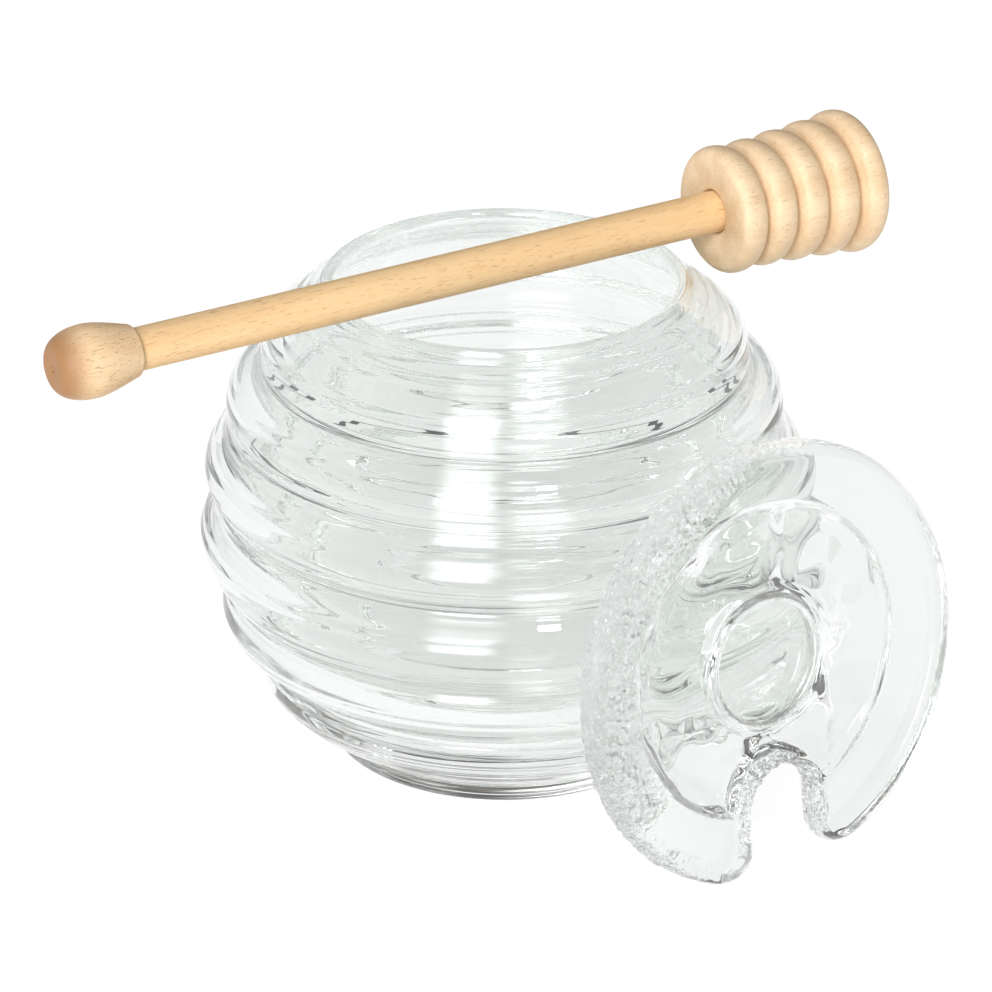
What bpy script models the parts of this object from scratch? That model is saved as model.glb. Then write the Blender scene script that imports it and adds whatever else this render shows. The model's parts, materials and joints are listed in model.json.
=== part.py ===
"""Honey pot: a clear glass beehive pot, its slotted glass lid and its wooden dipper.

Metres, +Z up. The origin is the centre of the pot's flat base, which stands on z = 0.
The lid stands on the two prongs beside its slot and leans its knob against the pot.
The dipper lies level across the mouth.
"""
import math

import bmesh
import bpy
from mathutils import Matrix, Vector

# Clearance between pieces that touch, and how near two points count as one
GAP = 0.0003
SAME_POINT = 0.000001

# Pot: the outside is a stack of rounded bands that meet in creases
POT_HEIGHT = 0.0927
RIM_RADIUS = 0.0345
LIP_THICKNESS = 0.0026
FOOT_RADIUS = 0.0337
FOOT_EDGE = 0.0006
# Radius and height of each crease, from the top down; the last one is over the foot
CREASES = (
    (0.0457, 0.0755),
    (0.0517, 0.0636),
    (0.0531, 0.0492),
    (0.0523, 0.0321),
    (0.0460, 0.0196),
    (0.0335, 0.0033),
)
# How far each band swells out between its creases
SWELLS = (0.0033, 0.0034, 0.0040, 0.0048, 0.0038, 0.0042)
# Over 1 puts a band's fullest place low in it, under 1 high in it
SAGS = (1.5, 0.95, 1.15, 0.83, 0.77, 0.6)
WALL_THICKNESS = 0.0028
INNER_SWELL_SHARE = 0.4
FLOOR_HEIGHT = 0.0062
FLOOR_RADIUS = 0.0280
POT_SEGMENTS = 56
OUTER_STEPS = 5
INNER_STEPS = 3

# Lid: a thick pressed disc, flat below, with a rounded hoop and a knob on top
LID_RADIUS = 0.0419
LID_THICKNESS = 0.0077
LID_EDGE_WIDTH = 0.0026
HOOP_OUTER_RADIUS = 0.0298
HOOP_INNER_RADIUS = 0.0126
HOOP_HEIGHT = 0.0040
# The groove between hoop and knob goes deeper than the disc's top face
GROOVE_BELOW_FACE = 0.0018
KNOB_HEIGHT = 0.0084
KNOB_NECK_RADIUS = 0.0112
KNOB_RADIUS = 0.0131
KNOB_FACE_RADIUS = 0.0082
KNOB_WIDEST_SHARE = 0.62
LID_SEGMENTS = 64

# Slot for the dipper's handle, from the rim towards the centre
SLOT_WIDTH = 0.0150
SLOT_ARCH_FROM_CENTRE = 0.0200
SLOT_FLARE = 0.0018
PRONG_TIP_RADIUS = 0.0060
# The slug that cuts the slot: levels as shares of half the lid's thickness, its
# reach past the faces, how fast it widens there and its reach past the rim
SLUG_LEVELS = (-1.0, -0.7, -0.35, 0.35, 0.7, 1.0)
SLUG_REACH = 0.002
SLUG_TAPER = 0.35
SLUG_RIM_SHARE = 1.2

# Where the lid stands: its bearing from the pot's axis, which way its underside
# faces, how far it leans off upright and how far its middle is from the pot's axis
LID_BEARING = math.radians(-47.5)
LID_FACING = math.radians(-52.5)
LID_LEAN = math.radians(6.3)
LID_STANDOFF = 0.0709

# Dipper: dowel handle, grooved head on one end, small turned knob on the other.
# It lies a little to the front of the pot's axis.
DIPPER_BEARING = math.radians(31.4)
DIPPER_OFFSET = 0.0024
DOWEL_RADIUS = 0.00397
DOWEL_EDGE = 0.0004
BORE_DEPTH = 0.0090
HEAD_START = 0.0445
RING_RADII = (0.01225, 0.01220, 0.01260, 0.01310, 0.01385)
RING_PITCH = 0.0068
# Each ring rises steeply on the handle's side and slopes away gently towards the next groove.
RING_HALF_WIDTH = 0.0024
RING_SLOPE_WIDTH = 0.0031
RING_CROWN = 0.0017
RING_SWEEP = 70
GROOVE_DEPTH = 0.0030
GROOVE_FROM_CREST = 0.0038
END_KNOB_START = -0.0952
END_KNOB_LENGTH = 0.0161
END_KNOB_RADIUS = 0.0068
END_KNOB_FACE_RADIUS = 0.0032
END_KNOB_WIDEST = 0.0068
END_KNOB_BELLY = 0.0003
END_KNOB_SAG = 0.7
SHOULDER_RADIUS = 0.0050
SHOULDER_ROUND = 0.0007
DIMPLE_RADIUS = 0.0007
DIMPLE_DEPTH = 0.0010
DOWEL_SEGMENTS = 28
HEAD_SEGMENTS = 30

GLASS_COLOUR = (0.90, 0.94, 0.93, 1.0)
HANDLE_COLOUR = (0.78, 0.52, 0.29, 1.0)
PALE_WOOD_COLOUR = (0.79, 0.65, 0.48, 1.0)


def clear_scene():
    for item in list(bpy.data.objects):
        bpy.data.objects.remove(item, do_unlink=True)


def make_material(name, colour, roughness, transmission=0.0, ior=1.5):
    material = bpy.data.materials.new(name)
    material.use_nodes = True
    shader = material.node_tree.nodes["Principled BSDF"]
    shader.inputs["Base Color"].default_value = colour
    shader.inputs["Roughness"].default_value = roughness
    shader.inputs["Metallic"].default_value = 0.0
    shader.inputs["Transmission Weight"].default_value = transmission
    shader.inputs["IOR"].default_value = ior
    return material


def arc(centre, radii, start, end, steps):
    """Points of an ellipse arc in the profile plane, angles in degrees."""
    points = []
    for step in range(steps + 1):
        angle = math.radians(start + (end - start) * step / steps)
        points.append((centre[0] + radii[0] * math.cos(angle), centre[1] + radii[1] * math.sin(angle)))
    return points


def swollen_band(top, bottom, swell, sag, steps):
    """Points from one place to just before the next, pushed out by a sine hump."""
    along = Vector(bottom) - Vector(top)
    outward = Vector((-along.y, along.x)).normalized()
    points = []
    for step in range(steps):
        share = step / steps
        hump = swell * math.sin(math.pi * share ** sag)
        point = Vector(top) + along * share + outward * hump
        points.append((point.x, point.y))
    return points


def turn(name, profile, segments):
    """A closed solid turned round the Z axis from (radius, height) points."""
    shape = bmesh.new()
    ring = [shape.verts.new((radius, 0.0, height)) for radius, height in profile]
    edges = [shape.edges.new(pair) for pair in zip(ring, ring[1:])]
    bmesh.ops.spin(
        shape, geom=ring + edges, cent=(0, 0, 0), axis=(0, 0, 1), angle=math.tau, steps=segments
    )
    bmesh.ops.remove_doubles(shape, verts=shape.verts, dist=SAME_POINT)
    bmesh.ops.recalc_face_normals(shape, faces=shape.faces)
    return new_object(name, shape)


def new_object(name, shape):
    mesh = bpy.data.meshes.new(name)
    shape.to_mesh(mesh)
    shape.free()
    item = bpy.data.objects.new(name, mesh)
    bpy.context.scene.collection.objects.link(item)
    return item


def finish_piece(item, material, crease_angle):
    item.data.materials.append(material)
    item.data.shade_smooth()
    item.data.set_sharp_from_angle(angle=math.radians(crease_angle))


def pot_outside():
    """Profile of the outside, from under the lip down to the flat base."""
    lip_centre_height = POT_HEIGHT - LIP_THICKNESS / 2
    edges = ((RIM_RADIUS, lip_centre_height),) + CREASES
    points = []
    for top, bottom, swell, sag in zip(edges, edges[1:], SWELLS, SAGS):
        points += swollen_band(top, bottom, swell, sag, OUTER_STEPS)
    points.append(CREASES[-1])
    points.append((FOOT_RADIUS, CREASES[-1][1] / 2))
    points.append((FOOT_RADIUS, FOOT_EDGE))
    points.append((FOOT_RADIUS - FOOT_EDGE, 0.0))
    points.append((0.0, 0.0))
    return points


def pot_inside():
    """Profile of the inside, from the floor's middle up to the lip: a calmer copy of the outside."""
    edges = [(RIM_RADIUS - LIP_THICKNESS, POT_HEIGHT - LIP_THICKNESS / 2)]
    for radius, height in CREASES[:-1]:
        edges.append((radius - WALL_THICKNESS, height))
    points = []
    for top, bottom, swell, sag in zip(edges, edges[1:], SWELLS, SAGS):
        points += swollen_band(top, bottom, swell * INNER_SWELL_SHARE, sag, INNER_STEPS)
    floor_edge = (FLOOR_RADIUS, FLOOR_HEIGHT)
    points += swollen_band(edges[-1], floor_edge, SWELLS[-1] * INNER_SWELL_SHARE, SAGS[-1], INNER_STEPS)
    points.append(floor_edge)
    points.append((0.0, FLOOR_HEIGHT))
    points.reverse()
    return points


def make_pot(glass):
    lip_radius = LIP_THICKNESS / 2
    lip_centre = (RIM_RADIUS - lip_radius, POT_HEIGHT - lip_radius)
    lip = arc(lip_centre, (lip_radius, lip_radius), 180, 0, 6)[1:-1]
    pot = turn("pot", pot_inside() + lip + pot_outside(), POT_SEGMENTS)
    finish_piece(pot, glass, 50)
    return pot


def lid_profile():
    """Profile from the middle of the underside, at +Z, out round the edge to the knob at -Z."""
    half = LID_THICKNESS / 2
    edge_start = LID_RADIUS - LID_EDGE_WIDTH
    hoop_middle = (HOOP_OUTER_RADIUS + HOOP_INNER_RADIUS) / 2
    hoop_half_width = (HOOP_OUTER_RADIUS - HOOP_INNER_RADIUS) / 2
    hoop_radii = (hoop_half_width, HOOP_HEIGHT)
    groove = -half + GROOVE_BELOW_FACE
    knob_end = -half - KNOB_HEIGHT
    knob_widest = -half - KNOB_HEIGHT * KNOB_WIDEST_SHARE
    knob_radii = (KNOB_RADIUS - KNOB_FACE_RADIUS, knob_widest - knob_end)
    points = [(0.0, half)]
    points += arc((edge_start, 0.0), (LID_EDGE_WIDTH, half), 90, -90, 8)
    points += arc((hoop_middle, -half), hoop_radii, 0, -165, 7)
    points.append((HOOP_INNER_RADIUS, groove))
    points.append((KNOB_NECK_RADIUS, -half))
    points += arc((KNOB_FACE_RADIUS, knob_widest), knob_radii, 40, -90, 5)
    points.append((0.0, knob_end))
    return points


def slot_outline(flare):
    """Closed plan outline of the slot's cutter, widened by flare; the slot runs to -Y."""
    half_width = SLOT_WIDTH / 2
    arch_centre = -(SLOT_ARCH_FROM_CENTRE + half_width)
    tip_x = half_width + PRONG_TIP_RADIUS
    tip_reach = LID_RADIUS - PRONG_TIP_RADIUS
    tip_y = -math.sqrt(tip_reach ** 2 - tip_x ** 2)
    tip_radius = PRONG_TIP_RADIUS - flare
    leave_angle = math.degrees(math.atan2(tip_y, tip_x)) + 360
    right = arc((0.0, arch_centre), (half_width + flare, half_width + flare), 90, 0, 6)
    right += arc((tip_x, tip_y), (tip_radius, tip_radius), 180, leave_angle, 6)
    away = Vector((tip_x, tip_y)).normalized() * LID_RADIUS * SLUG_RIM_SHARE
    right.append((away.x, away.y))
    left = [(-x, y) for x, y in right[1:]]
    return right + left[::-1]


def make_slot_cutter():
    """A slug right through the lid, knob side to underside, that opens out towards both faces."""
    half = LID_THICKNESS / 2
    top_side = half + HOOP_HEIGHT + SLUG_REACH
    levels = [-top_side] + [half * share for share in SLUG_LEVELS] + [half + SLUG_REACH]
    shape = bmesh.new()
    rings = []
    for level in levels:
        depth_share = min(1.0, abs(level) / half)
        flare = SLOT_FLARE * (1 - math.cos(math.pi / 2 * depth_share))
        flare += SLUG_TAPER * max(0.0, abs(level) - half)
        rings.append([shape.verts.new((x, y, level)) for x, y in slot_outline(flare)])
    for lower, upper in zip(rings, rings[1:]):
        for i in range(len(lower)):
            j = (i + 1) % len(lower)
            shape.faces.new((lower[i], lower[j], upper[j], upper[i]))
    shape.faces.new(rings[0])
    shape.faces.new(rings[-1])
    bmesh.ops.recalc_face_normals(shape, faces=shape.faces)
    cutter = new_object("slot_cutter", shape)
    cutter.hide_render = True
    cutter.display_type = "WIRE"
    return cutter


def lid_placement():
    """Turns the lid's underside to the front and stands it beside the pot."""
    away = Vector((math.cos(LID_BEARING), math.sin(LID_BEARING), 0.0))
    facing = Vector((math.cos(LID_FACING), math.sin(LID_FACING), 0.0))
    upright = Vector((0.0, 0.0, 1.0))
    normal = facing * math.cos(LID_LEAN) + upright * math.sin(LID_LEAN)
    up = upright * math.cos(LID_LEAN) - facing * math.sin(LID_LEAN)
    across = up.cross(normal)
    turned = Matrix((across, up, normal)).transposed().to_4x4()
    return Matrix.Translation(away * LID_STANDOFF) @ turned


def make_lid(glass):
    lid = turn("lid", lid_profile(), LID_SEGMENTS)
    cutter = make_slot_cutter()
    cutter.parent = lid
    cut = lid.modifiers.new("slot", "BOOLEAN")
    cut.operation = "DIFFERENCE"
    cut.object = cutter
    cut.solver = "EXACT"
    finish_piece(lid, glass, 40)
    lid.matrix_world = lid_placement()
    lid.location.z -= lowest_point(lid)
    return lid


def lowest_point(item):
    """Height of the lowest corner of the finished piece in the world."""
    bpy.context.view_layer.update()
    evaluated = item.evaluated_get(bpy.context.evaluated_depsgraph_get())
    return min((item.matrix_world @ vertex.co).z for vertex in evaluated.data.vertices)


def dipper_placement():
    """Turns a piece's +Z along the dipper and lifts it onto the pot's lip."""
    height = POT_HEIGHT + DOWEL_RADIUS + GAP
    lay_down = Matrix.Rotation(math.radians(90), 4, "Y")
    aside = Matrix.Translation((0, -DIPPER_OFFSET, height))
    return Matrix.Rotation(DIPPER_BEARING, 4, "Z") @ aside @ lay_down


def blind_bore(mouth, inward):
    """Profile of the hole for the dowel, from the mouth to the axis; inward is +1 or -1."""
    radius = DOWEL_RADIUS + GAP
    bottom = mouth + inward * BORE_DEPTH
    return [(radius, mouth), (radius, bottom), (0.0, bottom)]


def make_handle(wood):
    start = END_KNOB_START + END_KNOB_LENGTH - BORE_DEPTH + GAP
    end = HEAD_START + BORE_DEPTH - GAP
    face = DOWEL_RADIUS - DOWEL_EDGE
    profile = [(0.0, start), (face, start), (DOWEL_RADIUS, start + DOWEL_EDGE)]
    profile += [(DOWEL_RADIUS, end - DOWEL_EDGE), (face, end), (0.0, end)]
    handle = turn("dipper_handle", profile, DOWEL_SEGMENTS)
    handle.matrix_world = dipper_placement()
    finish_piece(handle, wood, 50)
    return handle


def head_profile():
    """Profile of the grooved head, from its bore round the rings to the middle of its end face."""
    points = blind_bore(HEAD_START, 1)[::-1]
    last = len(RING_RADII) - 1
    for i, radius in enumerate(RING_RADII):
        crest = (radius - RING_CROWN, HEAD_START + RING_HALF_WIDTH + i * RING_PITCH)
        start = -RING_SWEEP if i else -90
        slope_width = RING_SLOPE_WIDTH if i < last else RING_HALF_WIDTH
        points += arc(crest, (RING_CROWN, RING_HALF_WIDTH), start, 0, 2)
        points += arc(crest, (RING_CROWN, slope_width), 0, RING_SWEEP, 2)[1:]
        if i < last:
            points.append((radius - GROOVE_DEPTH, crest[1] + GROOVE_FROM_CREST))
    end = HEAD_START + RING_HALF_WIDTH * 2 + RING_PITCH * last
    points.append((RING_RADII[-1] - RING_CROWN, end))
    points.append((0.0, end))
    return points


def make_head(wood):
    head = turn("dipper_head", head_profile(), HEAD_SEGMENTS)
    head.matrix_world = dipper_placement()
    finish_piece(head, wood, 40)
    return head


def make_end_knob(wood):
    shoulder = END_KNOB_START + END_KNOB_LENGTH
    widest = END_KNOB_START + END_KNOB_WIDEST
    profile = [(0.0, END_KNOB_START + DIMPLE_DEPTH), (DIMPLE_RADIUS, END_KNOB_START)]
    round_end = (END_KNOB_RADIUS - END_KNOB_FACE_RADIUS, END_KNOB_WIDEST)
    profile += arc((END_KNOB_FACE_RADIUS, widest), round_end, -90, 0, 6)
    taper_end = (SHOULDER_RADIUS, shoulder - SHOULDER_ROUND)
    profile += swollen_band((END_KNOB_RADIUS, widest), taper_end, -END_KNOB_BELLY, END_KNOB_SAG, 4)[1:]
    round_centre = (SHOULDER_RADIUS - SHOULDER_ROUND, shoulder - SHOULDER_ROUND)
    profile += arc(round_centre, (SHOULDER_ROUND, SHOULDER_ROUND), 0, 90, 3)
    profile += blind_bore(shoulder, -1)
    knob = turn("dipper_knob", profile, DOWEL_SEGMENTS)
    knob.matrix_world = dipper_placement()
    finish_piece(knob, wood, 50)
    return knob


def main():
    clear_scene()
    glass = make_material("clear_glass", GLASS_COLOUR, 0.02, transmission=1.0, ior=1.5)
    lid_glass = make_material("pressed_glass", GLASS_COLOUR, 0.05, transmission=1.0, ior=1.5)
    handle_wood = make_material("handle_wood", HANDLE_COLOUR, 0.45)
    head_wood = make_material("pale_wood", PALE_WOOD_COLOUR, 0.6)
    knob_wood = make_material("end_knob_wood", PALE_WOOD_COLOUR, 0.6)
    make_pot(glass)
    make_lid(lid_glass)
    make_handle(handle_wood)
    make_head(head_wood)
    make_end_knob(knob_wood)


main()
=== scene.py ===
import json
import math

import bmesh
import bpy
from mathutils import Euler, Matrix, Vector

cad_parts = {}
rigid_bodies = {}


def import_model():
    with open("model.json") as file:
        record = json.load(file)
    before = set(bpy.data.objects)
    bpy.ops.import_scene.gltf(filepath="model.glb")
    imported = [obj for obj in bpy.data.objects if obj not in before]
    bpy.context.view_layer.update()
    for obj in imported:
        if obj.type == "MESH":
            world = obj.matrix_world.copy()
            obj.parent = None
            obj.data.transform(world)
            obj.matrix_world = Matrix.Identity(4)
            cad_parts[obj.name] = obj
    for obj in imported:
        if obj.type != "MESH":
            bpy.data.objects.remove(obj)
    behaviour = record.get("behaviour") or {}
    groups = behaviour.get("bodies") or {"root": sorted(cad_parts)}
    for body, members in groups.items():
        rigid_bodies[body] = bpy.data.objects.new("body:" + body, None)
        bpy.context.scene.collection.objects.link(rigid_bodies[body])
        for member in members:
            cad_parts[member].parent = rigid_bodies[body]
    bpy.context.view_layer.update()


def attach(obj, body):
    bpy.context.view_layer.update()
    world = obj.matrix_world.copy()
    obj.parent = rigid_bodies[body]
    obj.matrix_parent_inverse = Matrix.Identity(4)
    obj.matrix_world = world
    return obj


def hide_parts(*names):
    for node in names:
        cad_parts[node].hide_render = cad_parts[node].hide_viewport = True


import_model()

# Lengths are given in millimetres, and this turns them into metres
MM = 0.001
# Clearance between pieces that touch, and how near two points count as one
GAP = 0.3
SAME_POINT = 0.005

# Pot: the outside is a stack of rounded bands that meet in creases
POT_HEIGHT = 92.7
RIM_RADIUS = 34.5
LIP_THICKNESS = 2.6
FOOT_RADIUS = 33.7
FOOT_EDGE = 1.0
# Radius and height of each crease, from the top down; the last one is over the foot
CREASES = ((45.7, 75.5), (51.7, 63.6), (53.1, 49.2), (52.3, 32.1), (46.0, 19.6), (33.5, 3.3))
# How far each band swells out between its creases
SWELLS = (3.3, 3.4, 4.0, 4.8, 3.8, 4.2)
# Over 1 puts a band's fullest place low in it, under 1 high in it
SAGS = (1.5, 0.95, 1.15, 0.83, 0.77, 0.6)
WALL_THICKNESS = 2.8
INNER_SWELL_SHARE = 0.45
FLOOR_HEIGHT = 6.2
FLOOR_RADIUS = 28.0
OUTER_STEPS = 36
INNER_STEPS = 24
POT_TURN_STEPS = 250

# Fine rings chilled into the pot's wall beside each crease: two sets that beat together
FINE_RING_DEPTH = 0.20
FINE_RING_PITCH = 0.44
FINE_RING_FADE = 1.1
SECOND_RING_SHARE = 0.7
SECOND_RING_RATE = 1.4
SECOND_RING_START = 1.0
INNER_RING_SHARE = -1 / 3

# The wall's hand-blown waves: length round the pot, height, depth and where the pattern starts
WALL_WAVES = ((70.0, 4.0, 0.16, 3.0), (40.0, 9.0, 0.20, 40.0))

# Lid: a thick pressed disc, flat on one side, with a rounded hoop and a knob on the other
LID_RADIUS = 41.9
LID_THICKNESS = 7.7
LID_EDGE_WIDTH = 2.6
HOOP_OUTER_RADIUS = 29.8
HOOP_INNER_RADIUS = 12.6
HOOP_HEIGHT = 4.0
HOOP_SWEEP = -170
# Under 1 gives the hoop steeper flanks and a flatter crest
HOOP_SQUARENESS = 0.8
HOOP_WAVES = 2.6
HOOP_WAVE_LENGTH = 9.0
# The groove between hoop and knob goes deeper than the disc's face
GROOVE_BELOW_FACE = 1.8
LID_KNOB_HEIGHT = 8.4
LID_KNOB_NECK_RADIUS = 11.2
LID_KNOB_RADIUS = 13.1
LID_KNOB_FACE_RADIUS = 8.2
LID_KNOB_WIDEST_SHARE = 0.62
LID_TURN_STEPS = 160
LID_GRID = 0.42
LID_SMOOTHING = 5

# Slot for the dipper's handle, from the rim towards the centre
SLOT_WIDTH = 15.0
SLOT_ARCH_FROM_CENTRE = 20.0
SLOT_FLARE = 1.8
PRONG_TIP_RADIUS = 6.0
# The slug that cuts the slot: its reach past the faces, how fast it widens there,
# its reach past the rim and its levels on each side of the lid's middle
SLUG_REACH = 3.0
SLUG_TAPER = 0.35
SLUG_RIM_SHARE = 1.2
SLUG_LEVELS = 5

# Where the lid stands: its bearing from the pot's axis, which way its flat side faces,
# how far it leans off upright and how far its middle is from the pot's axis
LID_BEARING = math.radians(-47.5)
LID_FACING = math.radians(-52.5)
LID_LEAN = math.radians(6.3)
LID_STANDOFF = 70.9

# The lid's crackle. It reaches in from the rim, stays under the flat face and fades over
# its edges. Places are in the lid's own upright pose, x to the right and y up.
CRACKLE_REACH = 4.5
CRACKLE_DEPTH = 1.0
CRACKLE_GRAIN = 1.5
CRACKLE_EDGE = 2.5
CRACKLE_BELOW_FACE = 0.3
CRACKLE_FACE_EDGE = 1.2
# On the left it covers the hoop's side of the disc from the rim to the hoop, down to the prong
BROAD_CRACKLE_RIGHT = 4.0
BROAD_CRACKLE_RIGHT_EDGE = 20.0
BROAD_CRACKLE_LOW = -24.0
BROAD_CRACKLE_LOW_EDGE = 5.0
BROAD_CRACKLE_DEEP = 2.0
# It fades on the right and at the prongs' tips, to the last value
CRACKLE_RIGHT = (8.0, 14.0, 0.03)
CRACKLE_LOW = (-37.0, 6.0, 0.1)
# It covers the walls of the slot: how wide, below which height and how far from face and rim
SLOT_CRACKLE_WIDTH = 2.6
SLOT_CRACKLE_EDGE = 1.0
SLOT_CRACKLE_TOP = -18.0
SLOT_CRACKLE_BELOW_FACE = 0.5
SLOT_CRACKLE_FROM_RIM = 5.0
# The hoop's waves begin this far below the disc's face on the hoop's side
WAVES_BELOW_FACE = 0.4

# Dipper: dowel handle, grooved head on one end, small turned knob on the other.
# It lies a little to the front of the pot's axis.
DIPPER_BEARING = math.radians(31.4)
DIPPER_OFFSET = 2.4
DOWEL_RADIUS = 3.97
DOWEL_EDGE = 0.4
DOWEL_LENGTHS = 40
DOWEL_TURN_STEPS = 56
BORE_DEPTH = 9.0
BORE_FLARE = 0.45
HEAD_START = 44.5
RING_RADII = (12.25, 12.20, 12.60, 13.10, 13.85)
RING_PITCH = 6.8
# Each ring rises steeply on the handle's side and slopes away gently towards the next groove
RING_HALF_WIDTH = 2.4
RING_SLOPE_WIDTH = 3.1
RING_CROWN = 1.7
RING_SWEEP = 70
GROOVE_DEPTH = 3.0
GROOVE_FROM_CREST = 3.8
GROOVE_RADII = (0.5, 0.35)
HEAD_TURN_STEPS = 96
END_KNOB_START = -95.2
END_KNOB_LENGTH = 16.1
END_KNOB_RADIUS = 6.8
END_KNOB_FACE_RADIUS = 3.2
END_KNOB_WIDEST = 6.8
END_KNOB_BELLY = -0.3
END_KNOB_SAG = 0.7
SHOULDER_RADIUS = 5.0
SHOULDER_ROUND = 0.7
# Radius and depth of each point of the lathe's centre mark
CENTRE_MARK = ((0.0, 1.0), (0.3, 0.9), (0.6, 0.1), (0.8, 0.0))
END_KNOB_TURN_STEPS = 72

# Finish of the glass
GLASS = {"Base_Color": (0.885, 0.908, 0.893, 1.0), "IOR": 1.5, "Transmission_Weight": 1.0}
GLASS_RELIEF = 0.8
CRACKLE_ROUGHNESS = 0.03
CRACKLE_RELIEF = 1.8
GRAINS_PER_METRE = 480.0
FLAKES_PER_METRE = 800.0
GRAIN_SHARE = 0.7
FLAKE_SHARE = 0.6
RIB_RELIEF = 1.4
RIBS_PER_RADIAN = 2.4
RIBS_PER_METRE = 70.0
# The ribs are full between these radii and end at the hoop's edges
RIBS_FROM = 15.0
RIBS_TO = 26.0
# They are full from this far behind the disc's middle
RIBS_BEHIND_MIDDLE = 2.0

# Beech: light bands, dark bands, flecks, and how strongly the flecks show
HANDLE_TONES = ((0.84, 0.60, 0.33, 1), (0.76, 0.49, 0.24, 1), (0.50, 0.26, 0.11, 1), 0.6)
HEAD_TONES = ((0.80, 0.62, 0.41, 1), (0.70, 0.49, 0.29, 1), (0.45, 0.28, 0.14, 1), 0.5)
END_KNOB_TONES = ((0.82, 0.61, 0.38, 1), (0.73, 0.49, 0.27, 1), (0.40, 0.21, 0.10, 1), 0.7)
# The end knob's dark face, painted shade and darker end grain together: its colour, its strength, and
# where it starts to fade and is gone
END_SHADE_AND_GRAIN = (0.34, 0.16, 0.06, 1)
END_SHADE_AND_GRAIN_STRENGTH = 0.95
END_SHADE_AND_GRAIN_FULL = 0.5
END_SHADE_AND_GRAIN_REACH = 6.0
# Patterns drawn out along the grain: waves a metre along and across it, and their detail
FLECKS = (420.0, 3600.0, 2.0)
STREAKS = (14.0, 260.0, 3.0)
FIBRES = (60.0, 2400.0, 2.0)
FLECK_EDGES = (0.58, 0.70)
TONE_EDGES = (0.3, 0.7)
STREAK_SHARE = 0.75
FIBRE_RELIEF = 0.5
FLECK_RELIEF = 0.8
WOOD_RELIEF = 0.2

# The studio's light. Azimuths are in degrees from the viewer's side and grow to the right;
# pairs say where in the room a change begins and ends, as parts of a unit direction.
ROOM_FRONT = 0.05
ROOM_BACK = 0.10
ROOM_CHANGE = (-0.75, 0.3)
HORIZON = (-0.05, 0.1)
WINDOW_AZIMUTH = -16.0
WINDOW_SIDES = (0.10, 0.26)
WINDOW_TOP = (0.55, 0.88)
WINDOW_FAR_END = (-0.25, -0.1)
WINDOW_POWER = 10.5
LEFT_FILL = 0.5
LEFT_FILL_CHANGE = (-0.5, -0.2)
RIGHT_FILL = 0.1
RIGHT_FILL_CHANGE = (0.4, 0.75)
LAMP_AZIMUTH = 21
LAMP_ELEVATION = 50
LAMP_DISTANCE = 900.0
LAMP_SIZE = (100.0, 70.0)
LAMP_POWER = 2.2
LIT_HEIGHT = 40.0
# The floor runs from behind the camera to far behind the pot
FLOOR_SIDE = 24000.0
FLOOR_MIDDLE = 9900.0

# The camera looks down at a point over the pot's foot, which lies at AIM_PIXEL in the picture
CAMERA_PITCH = math.radians(25.6)
CAMERA_DISTANCE = 1050.0
AIM_HEIGHT = 45.0
AIM_PIXEL = (504.5, 508.2)
FOCAL_PIXELS = 5540.0
PICTURE_SIDE = 992.0


# Hand tools

def clear_selection():
    if bpy.context.object and bpy.context.object.mode != "OBJECT":
        bpy.ops.object.mode_set(mode="OBJECT")
    bpy.ops.object.select_all(action="DESELECT")


def take(piece):
    """Selects one piece alone, for the operator that follows."""
    clear_selection()
    piece.select_set(True)
    bpy.context.view_layer.objects.active = piece


def start_piece(name):
    """A new mesh object, open in edit mode and with nothing in it yet."""
    clear_selection()
    bpy.ops.mesh.primitive_plane_add(size=MM)
    piece = bpy.context.object
    piece.name = name
    piece.data.name = name
    bpy.ops.object.mode_set(mode="EDIT")
    bpy.ops.mesh.select_all(action="SELECT")
    bpy.ops.mesh.delete(type="VERT")
    return piece


def draw_line(points, closed=False):
    """Draws a chain of edges, one extruded corner at a time; points are in millimetres."""
    first = Vector(points[0]) * MM
    bpy.ops.mesh.select_all(action="DESELECT")
    bpy.ops.mesh.primitive_plane_add(size=MM, location=first)
    bpy.ops.mesh.merge(type="CENTER")
    for before, after in zip(points, points[1:]):
        step = (Vector(after) - Vector(before)) * MM
        bpy.ops.mesh.extrude_vertices_move(TRANSFORM_OT_translate={"value": step})
    if closed:
        bpy.ops.mesh.select_linked()
        select_open_ends()
        bpy.ops.mesh.edge_face_add()


def select_open_ends():
    """Of what is selected, keeps only the corners that have a single edge."""
    mesh = bpy.context.object.data
    shape = bmesh.from_edit_mesh(mesh)
    for vert in shape.verts:
        vert.select = vert.select and len(vert.link_edges) == 1
    shape.select_mode = {"VERT"}
    shape.select_flush_mode()
    bmesh.update_edit_mesh(mesh)


def turn_profile(name, profile, steps):
    """Turns (radius, height) points round the upright axis into a closed piece."""
    piece = start_piece(name)
    draw_line([(radius, 0.0, height) for radius, height in profile])
    bpy.ops.mesh.select_all(action="SELECT")
    bpy.ops.mesh.spin(steps=steps, angle=math.tau, center=(0, 0, 0), axis=(0, 0, 1))
    bpy.ops.mesh.select_all(action="SELECT")
    bpy.ops.mesh.remove_doubles(threshold=SAME_POINT * MM)
    bpy.ops.mesh.normals_make_consistent(inside=False)
    bpy.ops.object.mode_set(mode="OBJECT")
    return piece


def apply_modifier(piece, kind, **settings):
    modifier = piece.modifiers.new(kind.lower(), kind)
    for key, value in settings.items():
        setattr(modifier, key, value)
    take(piece)
    bpy.ops.object.modifier_apply(modifier=modifier.name)


def settle(piece, placement):
    """Moves the finished shape to its place, in its mesh."""
    take(piece)
    piece.matrix_world = placement
    bpy.ops.object.transform_apply(location=True, rotation=True, scale=True)


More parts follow.
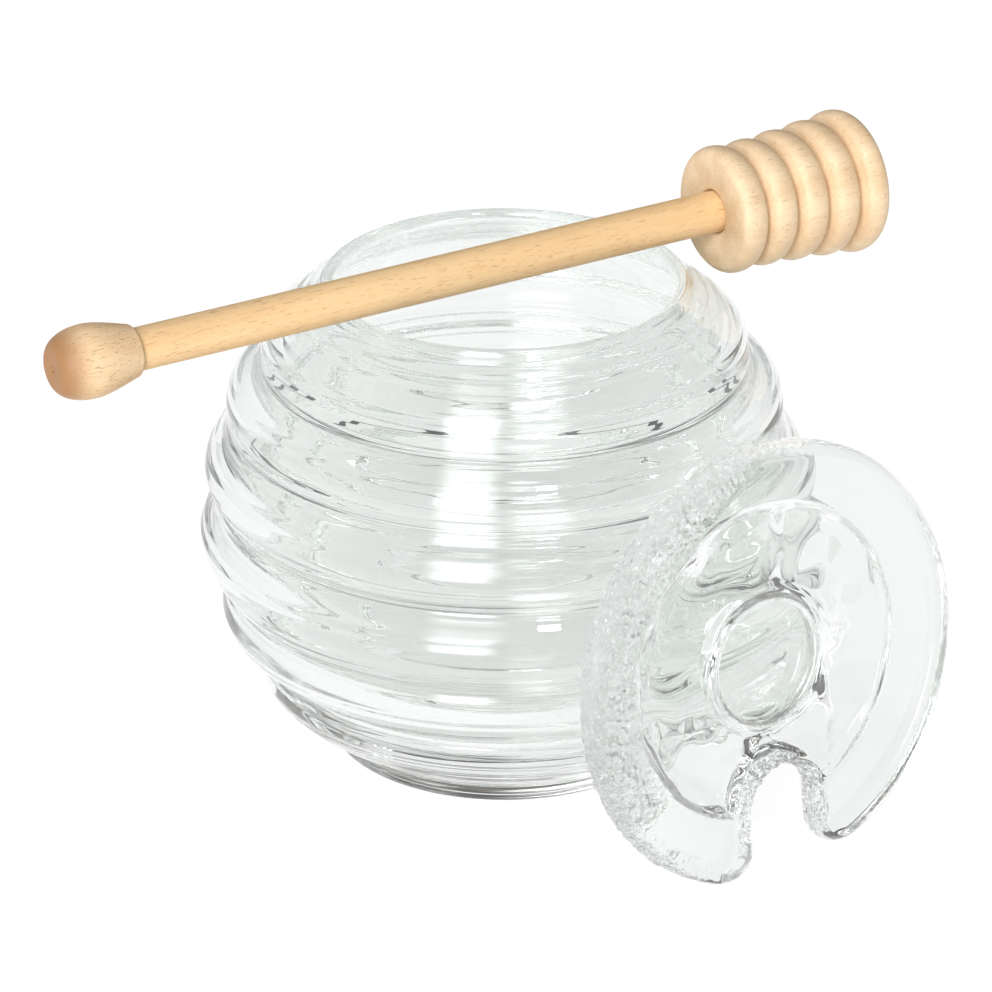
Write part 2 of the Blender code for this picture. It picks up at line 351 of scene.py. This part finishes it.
def smooth_faces(piece, sharp_over=None):
    """Shades a piece smooth, but for the edges sharper than an angle in degrees."""
    take(piece)
    if sharp_over is None:
        bpy.ops.object.shade_smooth()
    else:
        bpy.ops.object.shade_smooth_by_angle(angle=math.radians(sharp_over))


def put_in_place(piece, material, node):
    piece.data.materials.clear()
    piece.data.materials.append(material)
    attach(piece, "root")
    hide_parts(node)


def arc(centre, radii, start, end, steps):
    points = []
    for step in range(steps + 1):
        angle = math.radians(start + (end - start) * step / steps)
        points.append((centre[0] + radii[0] * math.cos(angle), centre[1] + radii[1] * math.sin(angle)))
    return points


def steep_arc(centre, radii, start, end, steps):
    """Like arc, but with steeper flanks and a flatter crest."""
    points = []
    for x, y in arc((0.0, 0.0), (1.0, 1.0), start, end, steps):
        x = math.copysign(abs(x) ** HOOP_SQUARENESS, x)
        y = math.copysign(abs(y) ** HOOP_SQUARENESS, y)
        points.append((centre[0] + radii[0] * x, centre[1] + radii[1] * y))
    return points


def fine_rings(run):
    """How far two beating sets of fine rings stand out, at a distance below a crease."""
    first = math.sin(run / FINE_RING_PITCH)
    second = math.sin(run * SECOND_RING_RATE / FINE_RING_PITCH + SECOND_RING_START)
    return first + SECOND_RING_SHARE * second


def swollen_band(top, bottom, swell, sag, steps, fine=0.0):
    """Points from one place to just before the next, pushed out by a sine hump.

    Fine rings, strongest at both ends of the band, fade towards its middle.
    """
    along = Vector(bottom) - Vector(top)
    outward = Vector((-along.y, along.x)).normalized()
    points = []
    for step in range(steps):
        share = step / steps
        fading = abs(2.0 * share - 1.0) ** FINE_RING_FADE
        out = swell * math.sin(math.pi * share ** sag)
        out += fine * fading * fine_rings(share * along.length)
        point = Vector(top) + along * share + outward * out
        points.append((point.x, point.y))
    return points


# Shader maths

class Maker:
    """Adds nodes to the tree of one new material, or of the world."""

    def __init__(self, name, world=None):
        self.material = world or bpy.data.materials.new(name)
        self.material.use_nodes = True
        self.tree = self.material.node_tree
        self.shader = self.tree.nodes["Background" if world else "Principled BSDF"]

    def node(self, kind, settings=None, inputs=None, output=0):
        made = self.tree.nodes.new("ShaderNode" + kind)
        for key, value in (settings or {}).items():
            setattr(made, key, value)
        for key, value in (inputs or {}).items():
            self.feed(made.inputs[key], value)
        return Wire(self, made.outputs[output])

    def feed(self, socket, value):
        if isinstance(value, Wire):
            self.tree.links.new(value.socket, socket)
        else:
            socket.default_value = value

    def set(self, **values):
        for key, value in values.items():
            self.feed(self.shader.inputs[key.replace("_", " ")], value)

    def blend(self, share, first, second):
        """Mixes two colours, which sit on the Mix node's sockets 6 and 7."""
        return self.node("Mix", {"data_type": "RGBA"}, {0: share, 6: first, 7: second}, output=2)

    def split(self, vector):
        """The three parts of a vector, all from one node."""
        first = self.node("SeparateXYZ", None, {0: vector})
        return [Wire(self, socket) for socket in first.socket.node.outputs]


class Wire:
    """A value on its way through the tree; plain arithmetic on it adds Math nodes."""

    def __init__(self, maker, socket):
        self.maker = maker
        self.socket = socket

    def math(self, operation, *others):
        return self.maker.node("Math", {"operation": operation}, dict(enumerate((self,) + others)))

    def __add__(self, other):
        return self.math("ADD", other)

    __radd__ = __add__

    def __mul__(self, other):
        return self.math("MULTIPLY", other)

    __rmul__ = __mul__

    def __sub__(self, other):
        return self.math("SUBTRACT", other)

    def __rsub__(self, other):
        return self.maker.node("Math", {"operation": "SUBTRACT"}, {0: other, 1: self})

    def ramp(self, low, high, start=0.0, end=1.0):
        """Runs from start to end as this value goes from low to high."""
        settings = {"interpolation_type": "SMOOTHSTEP"}
        inputs = {"Value": self, "From Min": low, "From Max": high, "To Min": start, "To Max": end}
        return self.maker.node("MapRange", settings, inputs)


# The glass

def clear_glass():
    maker = Maker("clear_glass")
    maker.set(Roughness=0.0, **GLASS)
    return maker.material


def hoop_ribs(maker, place, placed):
    """Soft ribs on the hoop, spread like spokes; placed is where the lid stands."""
    settings = {"vector_type": "TEXTURE"}
    inputs = {"Vector": place, "Location": placed.to_translation(), "Rotation": placed.to_euler()}
    on_lid = maker.node("Mapping", settings, inputs)
    right, up, out = maker.split(on_lid)
    bearing = up.math("ARCTAN2", right)
    radius = (right * right + up * up).math("SQRT")
    spokes = maker.node("CombineXYZ", None, {0: bearing * RIBS_PER_RADIAN, 1: radius * RIBS_PER_METRE})
    inputs = {"Vector": spokes, "Scale": 1.0, "Detail": 0.0, "Distortion": 0.3}
    ribs = maker.node("TexNoise", None, inputs)
    begin = radius.ramp(HOOP_INNER_RADIUS * MM, RIBS_FROM * MM)
    end = radius.ramp(RIBS_TO * MM, HOOP_OUTER_RADIUS * MM, 1.0, 0.0)
    return ribs * (begin * end) * out.ramp(-RIBS_BEHIND_MIDDLE * MM, 0.0, 1.0, 0.0)


def pressed_glass(placed):
    """Clear on its faces, crackled on its side wall and on the walls of its slot."""
    maker = Maker("pressed_glass")
    place = maker.node("TexCoord", output="Object")
    crackle = maker.node("Attribute", {"attribute_name": "crackle"}, output="Fac")
    inputs = {"Vector": place, "Scale": GRAINS_PER_METRE, "Detail": 4.0, "Roughness": 0.6}
    grains = maker.node("TexNoise", None, inputs)
    inputs = {"Vector": place, "Scale": FLAKES_PER_METRE}
    flakes = maker.node("TexVoronoi", {"feature": "F1"}, inputs)
    relief = (grains * GRAIN_SHARE + flakes * FLAKE_SHARE) * crackle * CRACKLE_RELIEF
    relief += hoop_ribs(maker, place, placed) * RIB_RELIEF
    inputs = {"Height": relief, "Strength": 1.0, "Distance": GLASS_RELIEF * MM}
    bump = maker.node("Bump", None, inputs)
    maker.set(Roughness=crackle * CRACKLE_ROUGHNESS, Normal=bump, **GLASS)
    return maker.material


def pot_profile():
    lip_radius = LIP_THICKNESS / 2
    lip_height = POT_HEIGHT - lip_radius
    outside = []
    edges = ((RIM_RADIUS, lip_height),) + CREASES
    for top, bottom, swell, sag in zip(edges, edges[1:], SWELLS, SAGS):
        outside += swollen_band(top, bottom, swell, sag, OUTER_STEPS, FINE_RING_DEPTH)
    outside.append(CREASES[-1])
    outside.append((FOOT_RADIUS, CREASES[-1][1] / 2))
    outside += arc((FOOT_RADIUS - FOOT_EDGE, FOOT_EDGE), (FOOT_EDGE, FOOT_EDGE), 0, -90, 5)
    outside.append((0.0, 0.0))
    edges = [(RIM_RADIUS - LIP_THICKNESS, lip_height)]
    edges += [(radius - WALL_THICKNESS, height) for radius, height in CREASES[:-1]]
    edges.append((FLOOR_RADIUS, FLOOR_HEIGHT))
    inside = []
    fine = FINE_RING_DEPTH * INNER_RING_SHARE
    for top, bottom, swell, sag in zip(edges, edges[1:], SWELLS, SAGS):
        inside += swollen_band(top, bottom, swell * INNER_SWELL_SHARE, sag, INNER_STEPS, fine)
    inside.append(edges[-1])
    inside.append((0.0, FLOOR_HEIGHT))
    inside.reverse()
    lip = arc((RIM_RADIUS - lip_radius, lip_height), (lip_radius, lip_radius), 180, 0, 10)[1:-1]
    return inside + lip + outside


def ripple(piece, long_way, high_way, depth, start):
    """Hand-blown unevenness: soft waves, long round the piece and short up it."""
    waves = bpy.data.textures.new("waves", "CLOUDS")
    waves.noise_scale = 1.0
    waves.noise_depth = 0
    stretch = bpy.data.objects.new("stretch", None)
    bpy.context.scene.collection.objects.link(stretch)
    stretch.scale = (long_way * MM, long_way * MM, high_way * MM)
    stretch.location = (start * MM, -start * MM, start * MM)
    bpy.context.view_layer.update()
    apply_modifier(
        piece,
        "DISPLACE",
        texture=waves,
        texture_coords="OBJECT",
        texture_coords_object=stretch,
        strength=depth * MM,
        mid_level=0.5,
    )
    bpy.data.objects.remove(stretch, do_unlink=True)
    bpy.data.textures.remove(waves)


def blow_pot(glass):
    pot = turn_profile("glass_pot", pot_profile(), POT_TURN_STEPS)
    for long_way, high_way, depth, start in WALL_WAVES:
        ripple(pot, long_way, high_way, depth, start)
    smooth_faces(pot)
    put_in_place(pot, glass, "pot")


def lid_profile():
    half = LID_THICKNESS / 2
    edge_start = LID_RADIUS - LID_EDGE_WIDTH
    hoop_middle = (HOOP_OUTER_RADIUS + HOOP_INNER_RADIUS) / 2
    hoop_radii = ((HOOP_OUTER_RADIUS - HOOP_INNER_RADIUS) / 2, HOOP_HEIGHT)
    knob_end = -half - LID_KNOB_HEIGHT
    knob_widest = -half - LID_KNOB_HEIGHT * LID_KNOB_WIDEST_SHARE
    knob_radii = (LID_KNOB_RADIUS - LID_KNOB_FACE_RADIUS, knob_widest - knob_end)
    points = [(0.0, half)]
    points += arc((edge_start, 0.0), (LID_EDGE_WIDTH, half), 90, -90, 16)
    points += steep_arc((hoop_middle, -half), hoop_radii, 0, HOOP_SWEEP, 30)
    points.append((HOOP_INNER_RADIUS, -half + GROOVE_BELOW_FACE))
    points.append((LID_KNOB_NECK_RADIUS, -half))
    points += arc((LID_KNOB_FACE_RADIUS, knob_widest), knob_radii, 40, -90, 12)
    points.append((0.0, knob_end))
    return points


def slot_outline(flare):
    half_width = SLOT_WIDTH / 2
    arch_centre = -(SLOT_ARCH_FROM_CENTRE + half_width)
    tip_x = half_width + PRONG_TIP_RADIUS
    tip_reach = LID_RADIUS - PRONG_TIP_RADIUS
    tip_y = -math.sqrt(tip_reach ** 2 - tip_x ** 2)
    leave_angle = math.degrees(math.atan2(tip_y, tip_x)) + 360
    right = arc((0.0, arch_centre), (half_width + flare, half_width + flare), 90, 0, 12)
    tip_radius = PRONG_TIP_RADIUS - flare
    right += arc((tip_x, tip_y), (tip_radius, tip_radius), 180, leave_angle, 12)
    away = Vector((tip_x, tip_y)).normalized() * LID_RADIUS * SLUG_RIM_SHARE
    right.append((away.x, away.y))
    return right + [(-x, y) for x, y in right[1:]][::-1]


def cut_slot_slug():
    """The slug that cuts the slot, drawn level by level and bridged."""
    half = LID_THICKNESS / 2
    slug = start_piece("slot_slug")
    levels = [-half - 2 * SLUG_REACH, -half - SLUG_REACH]
    levels += [half * share / SLUG_LEVELS for share in range(-SLUG_LEVELS, SLUG_LEVELS + 1)]
    levels.append(half + SLUG_REACH)
    for level in levels:
        flare = SLOT_FLARE * (1 - math.cos(math.pi / 2 * min(1.0, abs(level) / half)))
        flare += SLUG_TAPER * max(0.0, abs(level) - half)
        draw_line([(x, y, level) for x, y in slot_outline(flare)], closed=True)
    bpy.ops.mesh.select_all(action="SELECT")
    bpy.ops.mesh.bridge_edge_loops()
    bpy.ops.mesh.select_all(action="DESELECT")
    bpy.ops.mesh.select_non_manifold()
    bpy.ops.mesh.edge_face_add()
    bpy.ops.mesh.select_all(action="SELECT")
    bpy.ops.mesh.normals_make_consistent(inside=False)
    bpy.ops.object.mode_set(mode="OBJECT")
    return slug


def lid_placement():
    away = Vector((math.cos(LID_BEARING), math.sin(LID_BEARING), 0.0))
    facing = Vector((math.cos(LID_FACING), math.sin(LID_FACING), 0.0))
    upright = Vector((0.0, 0.0, 1.0))
    normal = facing * math.cos(LID_LEAN) + upright * math.sin(LID_LEAN)
    up = upright * math.cos(LID_LEAN) - facing * math.sin(LID_LEAN)
    turned = Matrix((up.cross(normal), up, normal)).transposed().to_4x4()
    return Matrix.Translation(away * LID_STANDOFF * MM) @ turned


def fade(distance, width, least=0.0):
    """Grows from least to 1 as a place comes over an edge of the given width."""
    return min(1.0, max(least, distance / width))


def crackle_share(x, y, z):
    """How crackled the lid is at a place in its own upright pose, from 0 to 1."""
    half = LID_THICKNESS / 2
    radius = math.hypot(x, y)
    broad = fade(BROAD_CRACKLE_RIGHT - x, BROAD_CRACKLE_RIGHT_EDGE)
    broad *= fade(y - BROAD_CRACKLE_LOW, BROAD_CRACKLE_LOW_EDGE)
    broad *= z < BROAD_CRACKLE_DEEP - half
    reach = CRACKLE_REACH + broad * (LID_RADIUS - HOOP_OUTER_RADIUS - CRACKLE_REACH)
    side = fade(radius - LID_RADIUS + reach, CRACKLE_EDGE)
    side *= fade(half - CRACKLE_BELOW_FACE - z, CRACKLE_FACE_EDGE)
    right_end, right_edge, right_least = CRACKLE_RIGHT
    low_end, low_edge, low_least = CRACKLE_LOW
    side *= fade(right_end - x, right_edge, right_least) * fade(y - low_end, low_edge, low_least)
    wall = fade(SLOT_WIDTH / 2 + SLOT_CRACKLE_WIDTH - abs(x), SLOT_CRACKLE_EDGE)
    wall *= y < SLOT_CRACKLE_TOP and radius < LID_RADIUS - SLOT_CRACKLE_FROM_RIM
    wall *= abs(z) < half - SLOT_CRACKLE_BELOW_FACE
    return max(side, wall)


def wave_share(x, y, z):
    """How far the hoop's waves show at a place of the lid, from 0 to 1."""
    radius = math.hypot(x, y)
    hoop = fade(radius - HOOP_INNER_RADIUS, 1.0) * fade(HOOP_OUTER_RADIUS - radius, 1.0)
    return hoop if z < WAVES_BELOW_FACE - LID_THICKNESS / 2 else 0.0


def mark_finishes(lid):
    """Keeps on each corner how crackled and how wavy the glass is there."""
    places = [vert.co / MM for vert in lid.data.vertices]
    crackle = [crackle_share(*place) for place in places]
    waves = [wave_share(*place) for place in places]
    for name, shares in (("rough", crackle), ("wavy", waves)):
        group = lid.vertex_groups.new(name=name)
        for index, share in enumerate(shares):
            if share > 0.0:
                group.add([index], share, "REPLACE")
    marks = lid.data.attributes.new("crackle", "FLOAT", "POINT")
    marks.data.foreach_set("value", crackle)


def roughen(piece, group, grain, detail, depth):
    """Pushes the surface in and out within one vertex group."""
    grains = bpy.data.textures.new("grains", "CLOUDS")
    grains.noise_scale = grain * MM
    grains.noise_depth = detail
    apply_modifier(
        piece,
        "DISPLACE",
        texture=grains,
        texture_coords="LOCAL",
        strength=depth * MM,
        mid_level=0.5,
        vertex_group=group,
    )


def press_lid():
    lid = turn_profile("glass_lid", lid_profile(), LID_TURN_STEPS)
    slug = cut_slot_slug()
    apply_modifier(lid, "BOOLEAN", operation="DIFFERENCE", object=slug, solver="EXACT")
    bpy.data.objects.remove(slug, do_unlink=True)
    apply_modifier(lid, "REMESH", mode="VOXEL", voxel_size=LID_GRID * MM)
    apply_modifier(lid, "SMOOTH", factor=0.5, iterations=LID_SMOOTHING)
    mark_finishes(lid)
    roughen(lid, "rough", CRACKLE_GRAIN, 1, CRACKLE_DEPTH)
    roughen(lid, "wavy", HOOP_WAVE_LENGTH, 0, HOOP_WAVES)
    settle(lid, lid_placement())
    low = min(vert.co.z for vert in lid.data.vertices)
    lift = Matrix.Translation((0, 0, -low))
    settle(lid, lift)
    smooth_faces(lid)
    put_in_place(lid, pressed_glass(lift @ lid_placement()), "lid")


# The wood

def drawn_out(maker, along, pattern):
    """Noise that is drawn out along the grain."""
    lengthwise, across, detail = pattern
    scale = (lengthwise, across, across)
    stretched = maker.node("Mapping", None, {"Vector": along, "Scale": scale})
    return maker.node("TexNoise", None, {"Vector": stretched, "Scale": 1.0, "Detail": detail})


def beech(name, light, dark, fleck, fleck_strength, end_shade_and_grain_strength=0.0):
    """Turned beech: soft tone bands and short dark flecks, all along the dipper."""
    maker = Maker(name)
    place = maker.node("TexCoord", output="Object")
    settings = {"vector_type": "TEXTURE"}
    inputs = {"Vector": place, "Rotation": (0.0, 0.0, DIPPER_BEARING)}
    along = maker.node("Mapping", settings, inputs)
    flecks = drawn_out(maker, along, FLECKS).ramp(*FLECK_EDGES)
    streaks = drawn_out(maker, along, STREAKS).ramp(*TONE_EDGES)
    fibres = drawn_out(maker, along, FIBRES)
    tone = streaks * STREAK_SHARE + fibres.ramp(*TONE_EDGES) * (1.0 - STREAK_SHARE)
    colour = maker.blend(flecks * fleck_strength, maker.blend(tone, light, dark), fleck)
    # Painted shade and darker end grain over the knob's rounded end, fading away along the dipper
    if end_shade_and_grain_strength:
        lengthwise, _, _ = maker.split(along)
        full = (END_KNOB_START + END_SHADE_AND_GRAIN_FULL) * MM
        gone = (END_KNOB_START + END_SHADE_AND_GRAIN_REACH) * MM
        colour = maker.blend(lengthwise.ramp(full, gone, end_shade_and_grain_strength, 0.0), colour, END_SHADE_AND_GRAIN)
    relief = fibres * FIBRE_RELIEF - flecks * FLECK_RELIEF
    inputs = {"Height": relief, "Strength": 0.25, "Distance": WOOD_RELIEF * MM}
    bump = maker.node("Bump", None, inputs)
    maker.set(Base_Color=colour, Roughness=0.5, Normal=bump)
    return maker.material


def dipper_placement():
    lay_down = Matrix.Rotation(math.radians(90), 4, "Y")
    height = POT_HEIGHT + DOWEL_RADIUS + GAP
    aside = Matrix.Translation((0, -DIPPER_OFFSET * MM, height * MM))
    return Matrix.Rotation(DIPPER_BEARING, 4, "Z") @ aside @ lay_down


def blind_bore(mouth, inward):
    radius = DOWEL_RADIUS + GAP
    bottom = mouth + inward * BORE_DEPTH
    return [(radius, mouth), (radius, bottom), (0.0, bottom)]


def turn_wood(name, profile, steps, sharp_over):
    """Turns one piece of the dipper and lays it on the pot's lip."""
    piece = turn_profile(name, profile, steps)
    settle(piece, dipper_placement())
    smooth_faces(piece, sharp_over)
    return piece


def handle_profile():
    start = END_KNOB_START + END_KNOB_LENGTH - BORE_DEPTH + GAP
    end = HEAD_START + BORE_DEPTH - GAP
    face = DOWEL_RADIUS - DOWEL_EDGE
    length = end - start - 2 * DOWEL_EDGE
    points = [(0.0, start), (face, start)]
    for step in range(DOWEL_LENGTHS):
        points.append((DOWEL_RADIUS, start + DOWEL_EDGE + length * step / DOWEL_LENGTHS))
    return points + [(DOWEL_RADIUS, end - DOWEL_EDGE), (face, end), (0.0, end)]


def head_profile():
    points = blind_bore(HEAD_START, 1)[::-1]
    bore_radius = points[-1][0]
    points[-1] = (bore_radius, HEAD_START + BORE_FLARE)
    points.append((bore_radius + BORE_FLARE, HEAD_START))
    last = len(RING_RADII) - 1
    for i, radius in enumerate(RING_RADII):
        crest = (radius - RING_CROWN, HEAD_START + RING_HALF_WIDTH + i * RING_PITCH)
        slope_width = RING_SLOPE_WIDTH if i < last else RING_HALF_WIDTH
        points += arc(crest, (RING_CROWN, RING_HALF_WIDTH), -RING_SWEEP if i else -90, 0, 8)
        points += arc(crest, (RING_CROWN, slope_width), 0, RING_SWEEP, 8)[1:]
        if i < last:
            groove = (radius - GROOVE_DEPTH + GROOVE_RADII[0], crest[1] + GROOVE_FROM_CREST)
            points += arc(groove, GROOVE_RADII, 240, 120, 4)
    end = HEAD_START + RING_HALF_WIDTH * 2 + RING_PITCH * last
    points.append((RING_RADII[-1] - RING_CROWN, end))
    points.append((0.0, end))
    return points


def end_knob_profile():
    shoulder = END_KNOB_START + END_KNOB_LENGTH
    widest = END_KNOB_START + END_KNOB_WIDEST
    points = [(radius, END_KNOB_START + depth) for radius, depth in CENTRE_MARK]
    round_end = (END_KNOB_RADIUS - END_KNOB_FACE_RADIUS, END_KNOB_WIDEST)
    points += arc((END_KNOB_FACE_RADIUS, widest), round_end, -90, 0, 14)
    taper_end = (SHOULDER_RADIUS, shoulder - SHOULDER_ROUND)
    points += swollen_band((END_KNOB_RADIUS, widest), taper_end, END_KNOB_BELLY, END_KNOB_SAG, 10)[1:]
    round_centre = (SHOULDER_RADIUS - SHOULDER_ROUND, shoulder - SHOULDER_ROUND)
    points += arc(round_centre, (SHOULDER_ROUND, SHOULDER_ROUND), 0, 90, 5)
    return points + blind_bore(shoulder, -1)


def turn_dipper():
    handle = turn_wood("handle_dowel", handle_profile(), DOWEL_TURN_STEPS, sharp_over=50)
    put_in_place(handle, beech("handle_wood", *HANDLE_TONES), "dipper_handle")
    head = turn_wood("dipper_rings", head_profile(), HEAD_TURN_STEPS, sharp_over=60)
    put_in_place(head, beech("pale_wood", *HEAD_TONES), "dipper_head")
    knob = turn_wood("end_knob", end_knob_profile(), END_KNOB_TURN_STEPS, sharp_over=60)
    # The end knob's wood gets painted shade and darker end grain on its rounded end
    wood = beech("end_knob_wood", *END_KNOB_TONES, END_SHADE_AND_GRAIN_STRENGTH)
    put_in_place(knob, wood, "dipper_knob")


# The studio

def lay_floor():
    clear_selection()
    place = (0.0, FLOOR_MIDDLE * MM, 0.0)
    bpy.ops.mesh.primitive_plane_add(size=FLOOR_SIDE * MM, location=place)
    floor = bpy.context.object
    floor.name = "floor"
    maker = Maker("pale_floor")
    maker.set(
        Base_Color=(0.2, 0.2, 0.2, 1.0),
        Roughness=0.7,
        Emission_Color=(1.0, 1.0, 1.0, 1.0),
        Emission_Strength=0.90,
    )
    floor.data.materials.append(maker.material)


def hang_lamp():
    """A small soft box up on the right, aimed at the pot."""
    light = bpy.data.lights.new("key_right", "AREA")
    light.shape = "RECTANGLE"
    light.size = LAMP_SIZE[0] * MM
    light.size_y = LAMP_SIZE[1] * MM
    light.energy = LAMP_POWER
    lamp = bpy.data.objects.new("key_right", light)
    bpy.context.scene.collection.objects.link(lamp)
    azimuth = math.radians(LAMP_AZIMUTH)
    elevation = math.radians(LAMP_ELEVATION)
    flat = math.cos(elevation)
    away = Vector((flat * math.sin(azimuth), -flat * math.cos(azimuth), math.sin(elevation)))
    lamp.location = away * LAMP_DISTANCE * MM + Vector((0.0, 0.0, LIT_HEIGHT * MM))
    lamp.rotation_euler = (-away).to_track_quat("-Z", "Y").to_euler()


def light_studio():
    """A dim, plain room with one tall soft window behind the viewer and a fill on each side."""
    room = Maker("white_room", bpy.data.worlds.new("white_room"))
    bpy.context.scene.world = room.material
    towards = room.node("TexCoord", output="Generated")
    side, away, height = room.split(towards)
    sideways = math.radians(WINDOW_AZIMUTH)
    inputs = {0: towards, 1: (math.cos(sideways), math.sin(sideways), 0.0)}
    off_window = room.node("VectorMath", {"operation": "DOT_PRODUCT"}, inputs, output="Value")
    window = off_window.math("ABSOLUTE").ramp(*WINDOW_SIDES, 1.0, 0.0)
    window *= height.ramp(*WINDOW_TOP, 1.0, 0.0) * away.ramp(*WINDOW_FAR_END, 1.0, 0.0)
    above = height.ramp(*HORIZON)
    fill = side.ramp(*LEFT_FILL_CHANGE, LEFT_FILL, 0.0) + side.ramp(*RIGHT_FILL_CHANGE, 0.0, RIGHT_FILL)
    strength = away.ramp(*ROOM_CHANGE, ROOM_FRONT, ROOM_BACK)
    strength += (fill + window * WINDOW_POWER) * above
    room.set(Color=(1.0, 1.0, 1.0, 1.0), Strength=strength)


def set_camera():
    camera = bpy.data.cameras.new("camera")
    camera.sensor_width = 36.0
    camera.lens = FOCAL_PIXELS / PICTURE_SIDE * camera.sensor_width
    camera.shift_x = (PICTURE_SIDE / 2 - AIM_PIXEL[0]) / PICTURE_SIDE
    camera.shift_y = (AIM_PIXEL[1] - PICTURE_SIDE / 2) / PICTURE_SIDE
    camera.clip_start = 0.01
    camera.clip_end = 50.0
    stand = bpy.data.objects.new("camera", camera)
    bpy.context.scene.collection.objects.link(stand)
    back = CAMERA_DISTANCE * math.cos(CAMERA_PITCH)
    height = AIM_HEIGHT + CAMERA_DISTANCE * math.sin(CAMERA_PITCH)
    stand.location = (0.0, -back * MM, height * MM)
    stand.rotation_euler = Euler((math.radians(90) - CAMERA_PITCH, 0.0, 0.0))
    bpy.context.scene.camera = stand


set_camera()
lay_floor()
light_studio()
hang_lamp()
blow_pot(clear_glass())
press_lid()
turn_dipper()

look = bpy.context.scene
look.view_settings.view_transform = "Standard"
look.cycles.max_bounces = 32
look.cycles.glossy_bounces = 20
look.cycles.transmission_bounces = 32
